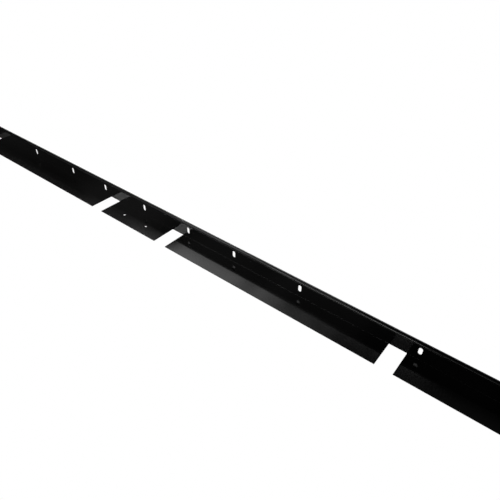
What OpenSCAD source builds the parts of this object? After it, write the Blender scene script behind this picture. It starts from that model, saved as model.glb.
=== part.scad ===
// Notched lower angle of a small snow plow blade: a folded, slotted sheet with a round bar behind its top edge.
// X runs along the bar, the ledge points to -Y, +Z is up, and the underside of the ledge is at Z = 0.

/* [Folded sheet] */
// Overall length of the bar
bar_len = 1524; // [1300:1:1830]
// Depth of the ledge, from its front edge to the front face of the upright flange
ledge_in = 48.5; // [40:0.5:70]
// Height of the upright flange, from the underside of the ledge to its top edge
flange_h = 28.2; // [27.5:0.1:45]
// Thickness of the sheet steel
sheet_t = 1.2; // [1:0.1:2]
// Inside radius of the press-brake bend
bend_r = 0.5; // [0.4:0.1:2]

/* [Slots in the flange] */
// Width of each upright slot
slot_w = 6.2; // [5.8:0.1:7.5]
// Length of each slot, over its round ends
slot_len = 13.2; // [12:0.1:15]
// Height of the slot centres above the underside of the ledge
slot_z = 17.8; // [16:0.1:18.5]
// Distance of the first pair of slots from the middle slot
slot_1_x = 121; // [112:0.5:130]
// Distance of the second pair of slots from the middle
slot_2_x = 232.5; // [200:0.5:260]
// Distance of the third pair of slots from the middle
slot_3_x = 372.5; // [300:0.5:420]
// Distance of the fourth pair of slots from the middle
slot_4_x = 580; // [570:0.5:600]
// Distance of the last slots from the ends of the bar
end_slot_inset = 25; // [15:0.5:35]

/* [Notches in the ledge] */
// Width of each notch
notch_w = 29; // [20:0.5:35]
// Distance of the inner notches from the middle
inner_notch_x = 92; // [70:0.5:100]
// Distance of the outer notches from the middle
outer_notch_x = 549; // [500:0.5:551]

/* [Holes in the ledge] */
// Diameter of the two round holes
ledge_hole_d = 4.3; // [3:0.1:8]
// Distance of each hole from the middle
ledge_hole_x = 31.3; // [20:0.1:50]
// Distance of the hole centres from the front edge of the ledge
ledge_hole_inset = 21.6; // [15:0.1:30]

/* [Edge rod] */
// Diameter of the round bar behind the top edge
rod_d = 7.94; // [6.6:0.01:8.5]
// How far the bar stands above the top edge of the flange
rod_rise = 3.1; // [1:0.1:3.5]
// Chamfer on the ends of the bar
rod_chamfer = 0.8; // [0.4:0.1:1.5]

/* [Welds] */
// Length of each stitch weld that holds the rod, over its round ends
weld_len = 24; // [15:1:40]
// Radius of the weld bead
weld_r = 1.4; // [1.2:0.1:1.6]

/* [Hidden] */
$fn = 64;

coat_black = [0.03, 0.03, 0.033];
rod_r = rod_d / 2;
rod_y = sheet_t + rod_r;
rod_z = flange_h + rod_rise - rod_r;
bend_top_z = sheet_t + bend_r;
bend_outer_r = sheet_t + bend_r;
slot_xs = [slot_1_x, slot_2_x, slot_3_x, slot_4_x, bar_len / 2 - end_slot_inset];
notch_xs = [inner_notch_x, outer_notch_x];
// A stitch lies midway between each slot and the next, out of the way of the nuts
weld_xs = [for (i = [0 : len(slot_xs) - 1]) ((i == 0 ? 0 : slot_xs[i - 1]) + slot_xs[i]) / 2];
// The bead's centre lies off the flange by part of its radius, and just outside the rod
weld_y = sheet_t + 0.65 * weld_r;
weld_z = rod_z - sqrt(pow(rod_r + 0.35 * weld_r, 2) - pow(rod_y - weld_y, 2));
over = 1;
// The origin is midway between the front edge of the ledge and the back of the rod
origin_y = (rod_y + rod_r - ledge_in) / 2;

// Places its children at +x and -x
module each_side(x) {
    for (side = [-1, 1]) translate([side * x, 0, 0]) children();
}

// Extrudes an outline drawn in the YZ plane along X, centred
module along_bar(len) {
    rotate([90, 0, 90]) linear_extrude(height = len, center = true) children();
}

// Outline of the sheet after bending: ledge, bend and flange
module angle_outline() {
    translate([-ledge_in, 0]) square([ledge_in - bend_r, sheet_t]);
    translate([0, bend_top_z]) square([sheet_t, flange_h - bend_top_z]);
    translate([-bend_r, bend_top_z]) intersection() {
        difference() {
            circle(r = bend_outer_r);
            circle(r = bend_r);
        }
        translate([0, -bend_outer_r]) square(bend_outer_r);
    }
}

// Upright slot with round ends, through the flange
module upright_slot() {
    end_offset = (slot_len - slot_w) / 2;
    translate([0, sheet_t / 2, slot_z]) {
        for (end = [-1, 1]) translate([0, 0, end * end_offset])
            rotate([90, 0, 0]) cylinder(d = slot_w, h = sheet_t + 2 * over, center = true);
        cube([slot_w, sheet_t + 2 * over, 2 * end_offset], center = true);
    }
}

// Clearance for a blade rib: takes the ledge and the bend away up to the flat of the flange
module rib_notch() {
    translate([-notch_w / 2, -ledge_in - over, -over])
        cube([notch_w, ledge_in + sheet_t + 2 * over, bend_top_z + over]);
}

module ledge_hole() {
    translate([0, ledge_hole_inset - ledge_in, -over])
        cylinder(d = ledge_hole_d, h = sheet_t + 2 * over);
}

// Sheet steel, laser-cut flat with its slots, notches and holes, then folded once
module folded_angle() {
    color(coat_black) translate([0, -origin_y, 0]) difference() {
        along_bar(bar_len) angle_outline();
        upright_slot();
        for (x = slot_xs) each_side(x) upright_slot();
        for (x = notch_xs) each_side(x) rib_notch();
        each_side(ledge_hole_x) ledge_hole();
    }
}

// Round bar that lies against the back of the flange at its top edge and stiffens it
module rod_solid() {
    straight_len = bar_len - 2 * rod_chamfer;
    translate([0, rod_y, rod_z]) rotate([0, 90, 0]) {
        cylinder(d = rod_d, h = straight_len, center = true);
        for (side = [0, 1]) mirror([0, 0, side]) translate([0, 0, straight_len / 2])
            cylinder(r1 = rod_r, r2 = rod_r - rod_chamfer, h = rod_chamfer);
    }
}

module edge_rod() {
    color(coat_black) translate([0, -origin_y, 0]) rod_solid();
}

// One stitch: a bead with round ends, in the corner under the rod and behind the flange
module weld_stitch() {
    straight_len = weld_len - 2 * weld_r;
    translate([0, weld_y, weld_z]) rotate([0, 90, 0]) {
        cylinder(r = weld_r, h = straight_len, center = true);
        for (end = [-1, 1]) translate([0, 0, end * straight_len / 2]) sphere(r = weld_r);
    }
}

// Stitch welds under the rod, each a solid of its own
module rod_welds() {
    color(coat_black) translate([0, -origin_y, 0])
        for (x = weld_xs) each_side(x) difference() {
            weld_stitch();
            rod_core();
            flange_core();
        }
}

// What is taken out of the bead: the rod, and the flange with the air in front of it
module rod_core() {
    translate([0, rod_y, rod_z]) rotate([0, 90, 0])
        cylinder(d = rod_d, h = weld_len + 2 * over, center = true);
}

module flange_core() {
    translate([-weld_len / 2 - over, sheet_t - 2 * weld_r, 0])
        cube([weld_len + 2 * over, 2 * weld_r, rod_z]);
}

folded_angle();
edge_rod();
rod_welds();
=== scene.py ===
import math

import bmesh
import bpy
from mathutils import Matrix, Vector


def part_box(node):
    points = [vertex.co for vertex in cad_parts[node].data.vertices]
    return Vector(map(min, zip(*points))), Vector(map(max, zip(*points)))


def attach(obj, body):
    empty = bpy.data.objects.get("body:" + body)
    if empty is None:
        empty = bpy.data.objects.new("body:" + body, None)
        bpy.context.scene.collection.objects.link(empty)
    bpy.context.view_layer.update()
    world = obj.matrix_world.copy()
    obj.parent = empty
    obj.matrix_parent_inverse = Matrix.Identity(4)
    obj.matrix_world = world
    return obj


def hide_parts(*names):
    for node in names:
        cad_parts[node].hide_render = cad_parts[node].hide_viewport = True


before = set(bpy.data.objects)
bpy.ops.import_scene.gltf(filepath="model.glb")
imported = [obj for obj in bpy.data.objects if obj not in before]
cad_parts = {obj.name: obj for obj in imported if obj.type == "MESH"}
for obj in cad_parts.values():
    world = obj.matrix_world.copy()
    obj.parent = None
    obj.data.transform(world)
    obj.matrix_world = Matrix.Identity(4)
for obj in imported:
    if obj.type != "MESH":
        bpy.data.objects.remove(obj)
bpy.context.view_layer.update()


# ---------------------------------------------------------------- Folded angle
# One sheet of 1.2 mm steel. It is laser-cut flat with its slots, notches and
# holes, the edges are broken, and then one press-brake bend turns it into a
# ledge and an upright flange. It is powder coated black after welding.

SHEET_T = 0.0012
BEND_R = 0.0002
BEND_ROWS = 4
EDGE_BREAK = 0.00008
EDGE_BREAK_ROWS = 2
EDGE_BREAK_ANGLE = math.radians(60)
JOIN_GAP = 0.000002

SLOT_W = 0.0062
SLOT_LEN = 0.0132
SLOT_Z = 0.0178
SLOT_PLACES = (0.121, 0.2325, 0.3725, 0.580, 0.737)
SLOT_MARGIN = 0.0015

NOTCH_W = 0.029
NOTCH_PLACES = (0.092, 0.549)

HOLE_D = 0.0043
HOLE_PLACE = 0.0313
HOLE_INSET = 0.0216
HOLE_MARGIN = 0.0015

# Straight steps in each quarter of an opening's outline
QUARTER_STEPS = 12
# A direction that rises less than this is level, and belongs to neither round end
LEVEL_RISE = 1e-9

angle_low, angle_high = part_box("folded_angle")
ledge_front_y = angle_low.y
ledge_top_z = angle_low.z + SHEET_T
flange_front_y = angle_high.y - SHEET_T

# Distances across the flat blank, from the front edge of the ledge
ledge_flat = flange_front_y - BEND_R - ledge_front_y
bend_end = ledge_flat + BEND_R * math.pi / 2
blank_depth = bend_end + angle_high.z - ledge_top_z - BEND_R


def folded(x, s):
    """Where a point of the blank's inner face lies once bent. x runs along the bar, s across the blank."""
    if s <= ledge_flat:
        return Vector((x, ledge_front_y + s, ledge_top_z))
    if s >= bend_end:
        return Vector((x, flange_front_y, ledge_top_z + BEND_R + s - bend_end))
    turn = (s - ledge_flat) / BEND_R
    short_of_flange = BEND_R * (1 - math.sin(turn))
    above_ledge = BEND_R * (1 - math.cos(turn))
    return Vector((x, flange_front_y - short_of_flange, ledge_top_z + above_ledge))


def round_outline(x, s, width, length):
    """Outline of a hole with round ends, in four quarter runs: right, top, left and bottom."""
    reach = (length - width) / 2
    runs = []
    for quarter in range(4):
        start = math.radians(90 * quarter - 45)
        run = []
        for i in range(QUARTER_STEPS + 1):
            angle = start + math.radians(90) * i / QUARTER_STEPS
            rise = math.sin(angle)
            end = 0 if abs(rise) < LEVEL_RISE else math.copysign(reach, rise)
            run.append((x + math.cos(angle) * width / 2, s + end + rise * width / 2))
        runs.append(run)
    return runs


def both_sides(places):
    """The places and their mirror images about the middle of the bar, from left to right."""
    return sorted([-p for p in places] + list(places))


slots = sorted(both_sides(SLOT_PLACES) + [0.0])
slot_s = bend_end + SLOT_Z - ledge_top_z - BEND_R
openings = [(x, slot_s, SLOT_W, SLOT_LEN, SLOT_MARGIN) for x in slots]
openings += [(x, HOLE_INSET, HOLE_D, HOLE_D, HOLE_MARGIN) for x in both_sides([HOLE_PLACE])]
notches = [(x - NOTCH_W / 2, x + NOTCH_W / 2) for x in both_sides(NOTCH_PLACES)]

# The blank is a grid of flat panels, with an opening in the middle of some and none over a notch
columns = {angle_low.x, angle_high.x}
for x, s, width, length, margin in openings:
    columns |= {x - width / 2 - margin, x + width / 2 + margin}
for left, right in notches:
    columns |= {left, right}
columns = sorted(columns)
bend_rows = [ledge_flat + (bend_end - ledge_flat) * i / BEND_ROWS for i in range(BEND_ROWS + 1)]
rows = [0.0, HOLE_INSET - HOLE_D / 2 - HOLE_MARGIN, HOLE_INSET + HOLE_D / 2 + HOLE_MARGIN, *bend_rows]
rows += [slot_s - SLOT_LEN / 2 - SLOT_MARGIN, slot_s + SLOT_LEN / 2 + SLOT_MARGIN, blank_depth]

blank = bmesh.new()
placed = {}


def blank_vert(x, s):
    """The vertex at a place on the blank, shared by all the panels that meet there."""
    key = (round(x, 7), round(s, 7))
    if key not in placed:
        placed[key] = blank.verts.new(folded(x, s))
    return placed[key]


def blank_face(points):
    """One flat face of the blank, through places given as x and s."""
    blank.faces.new([blank_vert(x, s) for x, s in points])


for x0, x1 in zip(columns, columns[1:]):
    for s0, s1 in zip(rows, rows[1:]):
        mid_x, mid_s = (x0 + x1) / 2, (s0 + s1) / 2
        if mid_s < bend_end and any(left < mid_x < right for left, right in notches):
            continue
        corners = [(x1, s0), (x1, s1), (x0, s1), (x0, s0)]
        hole = [o for o in openings if x0 < o[0] < x1 and s0 < o[1] < s1]
        if not hole:
            blank_face([corners[3], corners[0], corners[1], corners[2]])
            continue
        x, s, width, length, _ = hole[0]
        for quarter, run in enumerate(round_outline(x, s, width, length)):
            blank_face([corners[quarter], corners[(quarter + 1) % 4], *reversed(run)])

angle_mesh = bpy.data.meshes.new("folded_angle_sheet")
blank.normal_update()
blank.to_mesh(angle_mesh)
blank.free()
angle_mesh.shade_smooth()
angle = bpy.data.objects.new("folded_angle_sheet", angle_mesh)
bpy.context.collection.objects.link(angle)

thicken = angle.modifiers.new("sheet thickness", "SOLIDIFY")
thicken.thickness = SHEET_T
thicken.offset = -1
thicken.use_even_offset = True
edge_break = angle.modifiers.new("broken edges", "BEVEL")
edge_break.width = EDGE_BREAK
edge_break.segments = EDGE_BREAK_ROWS
edge_break.limit_method = "ANGLE"
edge_break.angle_limit = EDGE_BREAK_ANGLE
joined = angle.modifiers.new("doubled points joined", "WELD")
joined.merge_threshold = JOIN_GAP
flatten = angle.modifiers.new("flat faces stay flat", "WEIGHTED_NORMAL")
flatten.keep_sharp = True
flatten.weight = 100


class Link:
    """A node socket that takes part in Python arithmetic by adding Math nodes.

    One without a socket stands for the tree itself and only adds nodes.
    """

    def __init__(self, tree, socket=None):
        self.tree = tree
        self.socket = socket

    def node(self, kind, settings=None, inputs=None, output=0):
        """Adds a node: its settings first, then the values or links of its sockets."""
        made = self.tree.nodes.new(kind)
        for name, value in (settings or {}).items():
            setattr(made, name, value)
        for name, value in (inputs or {}).items():
            if isinstance(value, Link):
                self.tree.links.new(value.socket, made.inputs[name])
            else:
                made.inputs[name].default_value = value
        return Link(self.tree, made.outputs[output])

    def math(self, operation, a, b):
        return self.node("ShaderNodeMath", {"operation": operation}, {0: a, 1: b})

    def __add__(self, other):
        return self.math("ADD", self, other)

    def __radd__(self, other):
        return self.math("ADD", other, self)

    def __sub__(self, other):
        return self.math("SUBTRACT", self, other)

    def __rsub__(self, other):
        return self.math("SUBTRACT", other, self)

    def __mul__(self, other):
        return self.math("MULTIPLY", self, other)

    def __rmul__(self, other):
        return self.math("MULTIPLY", other, self)


COAT_BLACK = (0.0003, 0.0003, 0.0003, 1)
COAT_IOR = 1.5
COAT_ROUGHNESS = 0.11
ROUGHNESS_DRIFT = 0.05
DRIFTS_PER_METRE = 45.0
PEEL_DEPTH = 0.000009
PEELS_PER_METRE = 600.0


def powder_coat(name):
    """Black polyester powder coat: nearly black, a clear gloss, and a fine orange peel."""
    material = bpy.data.materials.new(name)
    material.use_nodes = True
    tree = material.node_tree
    shader = tree.nodes["Principled BSDF"]
    shader.inputs["Base Color"].default_value = COAT_BLACK
    shader.inputs["IOR"].default_value = COAT_IOR
    bench = Link(tree)
    place = bench.node("ShaderNodeTexCoord", output="Object")
    peel = bench.node("ShaderNodeTexNoise", {}, {"Vector": place, "Scale": PEELS_PER_METRE, "Detail": 1.0})
    drift = bench.node("ShaderNodeTexNoise", {}, {"Vector": place, "Scale": DRIFTS_PER_METRE, "Detail": 2.0})
    bump = bench.node("ShaderNodeBump", {}, {"Strength": 1.0, "Distance": PEEL_DEPTH, "Height": peel})
    rough = COAT_ROUGHNESS + (drift - 0.5) * ROUGHNESS_DRIFT
    tree.links.new(rough.socket, shader.inputs["Roughness"])
    tree.links.new(bump.socket, shader.inputs["Normal"])
    return material


coat = powder_coat("black powder coat")
angle_mesh.materials.append(coat)
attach(angle, "root")
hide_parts("folded_angle")


# -------------------------------------------------------------------- Edge rod
# A 5/16 inch round steel bar, full length, welded behind the top edge of the
# flange to stiffen it. Its ends are chamfered, and it has the same coat.

ROD_SIDES = 48
ROD_CHAMFER = 0.0008
ROD_SHARP_ANGLE = math.radians(30)

rod_low, rod_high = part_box("edge_rod")
rod_r = (rod_high.y - rod_low.y) / 2
rod_y = (rod_low.y + rod_high.y) / 2
rod_z = (rod_low.z + rod_high.z) / 2


def add_rings(bm, stations, y, z, sides):
    """A closed round bar along X through y and z. stations are pairs of x and radius."""
    turns = [2 * math.pi * i / sides for i in range(sides)]
    around = [(math.cos(turn), math.sin(turn)) for turn in turns]
    rings = []
    for x, radius in stations:
        rings.append([bm.verts.new((x, y + radius * c, z + radius * s)) for c, s in around])
    for near, far in zip(rings, rings[1:]):
        for i in range(sides):
            j = (i + 1) % sides
            bm.faces.new((near[i], near[j], far[j], far[i]))
    bm.faces.new(rings[0][::-1])
    bm.faces.new(rings[-1])


rod_bm = bmesh.new()
rod_stations = [
    (rod_low.x, rod_r - ROD_CHAMFER),
    (rod_low.x + ROD_CHAMFER, rod_r),
    (rod_high.x - ROD_CHAMFER, rod_r),
    (rod_high.x, rod_r - ROD_CHAMFER),
]
add_rings(rod_bm, rod_stations, rod_y, rod_z, ROD_SIDES)
rod_mesh = bpy.data.meshes.new("edge_rod_bar")
bmesh.ops.recalc_face_normals(rod_bm, faces=rod_bm.faces)
rod_bm.to_mesh(rod_mesh)
rod_bm.free()
rod_mesh.shade_smooth()
rod_mesh.set_sharp_from_angle(angle=ROD_SHARP_ANGLE)
rod_mesh.materials.append(coat)
rod = bpy.data.objects.new("edge_rod_bar", rod_mesh)
bpy.context.collection.objects.link(rod)
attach(rod, "root")
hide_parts("edge_rod")


# ---------------------------------------------------------------- Stitch welds
# Ten short beads in the corner under the rod and behind the flange, one between
# each slot and the next. Each is laid as a row of puddles, so it is rippled.

WELD_LEN = 0.024
WELD_R = 0.0014
WELD_SIDES = 20
WELD_STEP = 0.0004
# Share of its radius that a bead keeps at its two tips
WELD_TIP = 0.08
RIPPLE_PITCH = 0.0018
RIPPLE_DEPTH = 0.16

# How far the middle of a bead stands off the flange and off the rod
off_flange = 0.65 * WELD_R
off_rod = 0.35 * WELD_R
weld_y = angle_high.y + off_flange
weld_z = rod_z - math.sqrt((rod_r + off_rod) ** 2 - (rod_y - weld_y) ** 2)
slot_gaps = zip((0.0,) + SLOT_PLACES, SLOT_PLACES)
weld_places = both_sides([(near + far) / 2 for near, far in slot_gaps])


def bead_radius(d):
    """Radius of a bead at a distance d from its start: round at the ends and rippled between."""
    from_end = min(d, WELD_LEN - d)
    cap = math.sqrt(max(0.0, 1 - (1 - min(1.0, from_end / WELD_R)) ** 2))
    ripple = abs(math.sin(math.pi * d / RIPPLE_PITCH))
    return WELD_R * max(WELD_TIP, cap) * (1 - RIPPLE_DEPTH * (1 - ripple))


weld_steps = round(WELD_LEN / WELD_STEP)
weld_runs = [k * WELD_STEP for k in range(weld_steps + 1)]
weld_bm = bmesh.new()
for x in weld_places:
    weld_stations = [(x - WELD_LEN / 2 + d, bead_radius(d)) for d in weld_runs]
    add_rings(weld_bm, weld_stations, weld_y, weld_z, WELD_SIDES)
weld_mesh = bpy.data.meshes.new("rod_weld_beads")
bmesh.ops.recalc_face_normals(weld_bm, faces=weld_bm.faces)
weld_bm.to_mesh(weld_mesh)
weld_bm.free()
weld_mesh.shade_smooth()
weld_mesh.materials.append(coat)
welds = bpy.data.objects.new("rod_weld_beads", weld_mesh)
bpy.context.collection.objects.link(welds)
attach(welds, "root")
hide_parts("rod_welds")


# ----------------------------------------------------------------------- Floor
# A plain pale studio floor, wide enough to fill every view from above. The
# camera sees it burnt out to white, but the coat mirrors it as it is really lit.

FLOOR_HALF = 15.0
FLOOR_TONE = (0.42, 0.42, 0.42, 1)
BURNT_OUT = 1.0

floor_mesh = bpy.data.meshes.new("floor")
floor_corners = [(-FLOOR_HALF, -FLOOR_HALF, 0), (FLOOR_HALF, -FLOOR_HALF, 0)]
floor_corners += [(FLOOR_HALF, FLOOR_HALF, 0), (-FLOOR_HALF, FLOOR_HALF, 0)]
floor_mesh.from_pydata(floor_corners, [], [(0, 1, 2, 3)])
floor = bpy.data.objects.new("floor", floor_mesh)
bpy.context.collection.objects.link(floor)

floor_paint = bpy.data.materials.new("white floor")
floor_paint.use_nodes = True
floor_tree = floor_paint.node_tree
floor_tree.nodes.remove(floor_tree.nodes["Principled BSDF"])
floor_nodes = Link(floor_tree)
seen = floor_nodes.node("ShaderNodeLightPath", output="Is Camera Ray")
lit = floor_nodes.node("ShaderNodeBsdfDiffuse", {}, {"Color": FLOOR_TONE})
burnt = floor_nodes.node("ShaderNodeEmission", {}, {"Strength": BURNT_OUT})
both = floor_nodes.node("ShaderNodeMixShader", {}, {0: seen, 1: lit, 2: burnt})
floor_tree.links.new(both.socket, floor_tree.nodes["Material Output"].inputs["Surface"])
floor_mesh.materials.append(floor_paint)


# ---------------------------------------------------------------------- Lights
# A dark room with soft boxes, which the gloss of the coat mirrors. Those overhead
# make the long soft highlights in the ledge and the flange, those in front and
# behind make the ones along the rod, and two narrow beams light the floor by the bar.

ROOM_GLOW = 0.001
OVERHEAD_Z = 1.12
FRONT_Y = -1.5
BACK_Y = 2.0
BOX_GAP = 0.002
Y_AXIS = 1
Z_AXIS = 2

POOL_SOURCE_Y = -0.6
POOL_SOURCE_Z = 1.0
POOL_DEPTH = 0.25
POOL_SPREAD = math.radians(30)

# Name, x and y of two corners, radiance
OVERHEAD_BOXES = [
    ("front strip", (-3.3, -1.35), (0.8, -0.95), 0.3),
    ("overhead box", (-0.95, -1.3), (0.15, -0.25), 0.5),
    ("long box", (-0.4, -1.25), (-0.25, 1.5), 0.41),
    ("rod key", (-0.8, -0.65), (-0.35, -0.1), 1.7),
    ("left box", (-1.6, -2.2), (-0.5, -0.5), 0.22),
    ("left fill", (-1.9, -2), (-1.2, -0.75), 0.45),
    ("far left box", (-1.7, -2.2), (-0.45, -1.5), 1.6),
    ("front fill", (-0.35, -1.5), (0.3, -1.1), 0.45),
    ("back key", (-0.97, 0.7), (-0.5, 1.05), 1.2),
    ("back middle", (-0.5, 0.7), (-0.35, 1.05), 0.6),
    ("back right", (-0.35, 0.7), (0.05, 1.05), 0.12),
    ("back key left", (-1.3, 0.75), (-0.75, 0.95), 0.42),
    ("back fill", (-1.8, 0.6), (-0.05, 1.05), 0.09),
    ("back strip", (-0.45, 1.07), (0.5, 1.2), 1.1),
    ("back spot", (-0.3, 0.65), (0.1, 0.85), 2.6),
    ("ceiling glow", (-3.4, 0.35), (0.85, 1.0), 0.067),
    ("back rim", (-1.7, 1.2), (-0.3, 1.5), 1.5),
]
# Name, x and z of two corners, radiance
FRONT_BOXES = [
    ("low box", (-0.4, 0.03), (0.42, 0.26), 4.4),
    ("low strip", (-2.6, 0.05), (1.5, 0.25), 0.95),
    ("high box", (-0.6, 0.75), (-0.35, 1.1), 1.45),
]
# Name, x and z of two corners, radiance
BACK_BOXES = [
    ("back box", (-4.8, 0.1), (0.3, 1.75), 1.6),
    ("right back box", (0.3, 0.1), (2.5, 1.3), 0.7),
]
# Name, x of the middle, width, radiance
FLOOR_POOLS = [
    ("floor pool", 0.02, 0.4, 2.6),
    ("right floor pool", 0.35, 0.25, 0.53),
]


def soft_box(name, centre, aim, size, radiance):
    """A rectangular light with the given radiance at full spread. The camera can't see it."""
    data = bpy.data.lights.new(name, "AREA")
    data.shape = "RECTANGLE"
    data.size, data.size_y = size
    data.energy = radiance * math.pi * size[0] * size[1]
    light = bpy.data.objects.new(name, data)
    facing = (Vector(aim) - Vector(centre)).to_track_quat("-Z", "Y").to_matrix().to_4x4()
    light.matrix_world = Matrix.Translation(centre) @ facing
    light.visible_camera = False
    bpy.context.collection.objects.link(light)
    return light


def hang_boxes(boxes, axis, distance):
    """Hangs boxes square to an axis, facing the bar, and each a little further out than the last."""
    for k, (name, low, high, radiance) in enumerate(boxes):
        centre = [(a + b) / 2 for a, b in zip(low, high)]
        aim = list(centre)
        centre.insert(axis, distance + math.copysign(k * BOX_GAP, distance))
        aim.insert(axis, 0)
        size = [b - a for a, b in zip(low, high)]
        soft_box(name, centre, aim, size, radiance)


hang_boxes(OVERHEAD_BOXES, Z_AXIS, OVERHEAD_Z)
hang_boxes(FRONT_BOXES, Y_AXIS, FRONT_Y)
for name, x, width, radiance in FLOOR_POOLS:
    pool = soft_box(name, (x, POOL_SOURCE_Y, POOL_SOURCE_Z), (x, 0, 0), (width, POOL_DEPTH), radiance)
    pool.data.spread = POOL_SPREAD
    pool.visible_glossy = False
hang_boxes(BACK_BOXES, Y_AXIS, BACK_Y)

world = bpy.data.worlds.new("studio")
world.use_nodes = True
bpy.context.scene.world = world
sky = world.node_tree
is_camera = Link(sky).node("ShaderNodeLightPath", output="Is Camera Ray")
room = is_camera * (BURNT_OUT - ROOM_GLOW) + ROOM_GLOW
sky.links.new(room.socket, sky.nodes["Background"].inputs["Strength"])
sky.nodes["Background"].inputs["Color"].default_value = (1, 1, 1, 1)


# ---------------------------------------------------------------------- Camera
# It stands in front of the right end, a little above half a metre, and looks
# down and left along the bar. The frame cuts the bar off at both sides.

CAMERA_PLACE = Vector((0.657066, -0.499317, 0.553417))
CAMERA_AIM = Vector((0.268151, 0.01968, 0.045568))
CAMERA_ROLL = -0.03493
FOCAL_PIXELS = 482.9
FRAME_PIXELS = 500
SENSOR_WIDTH = 36
FAR_CLIP = 100

camera_data = bpy.data.cameras.new("camera")
camera_data.sensor_width = SENSOR_WIDTH
camera_data.lens = SENSOR_WIDTH * FOCAL_PIXELS / FRAME_PIXELS
camera_data.clip_end = FAR_CLIP
camera = bpy.data.objects.new("camera", camera_data)
forward = (CAMERA_AIM - CAMERA_PLACE).normalized()
level_right = forward.cross(Vector((0, 0, 1))).normalized()
level_down = forward.cross(level_right)
right = level_right * math.cos(CAMERA_ROLL) + level_down * math.sin(CAMERA_ROLL)
down = level_down * math.cos(CAMERA_ROLL) - level_right * math.sin(CAMERA_ROLL)
axes = Matrix((right, -down, -forward)).transposed()
camera.matrix_world = Matrix.Translation(CAMERA_PLACE) @ axes.to_4x4()
bpy.context.collection.objects.link(camera)
bpy.context.scene.camera = camera

bpy.context.scene.view_settings.view_transform = "Standard"
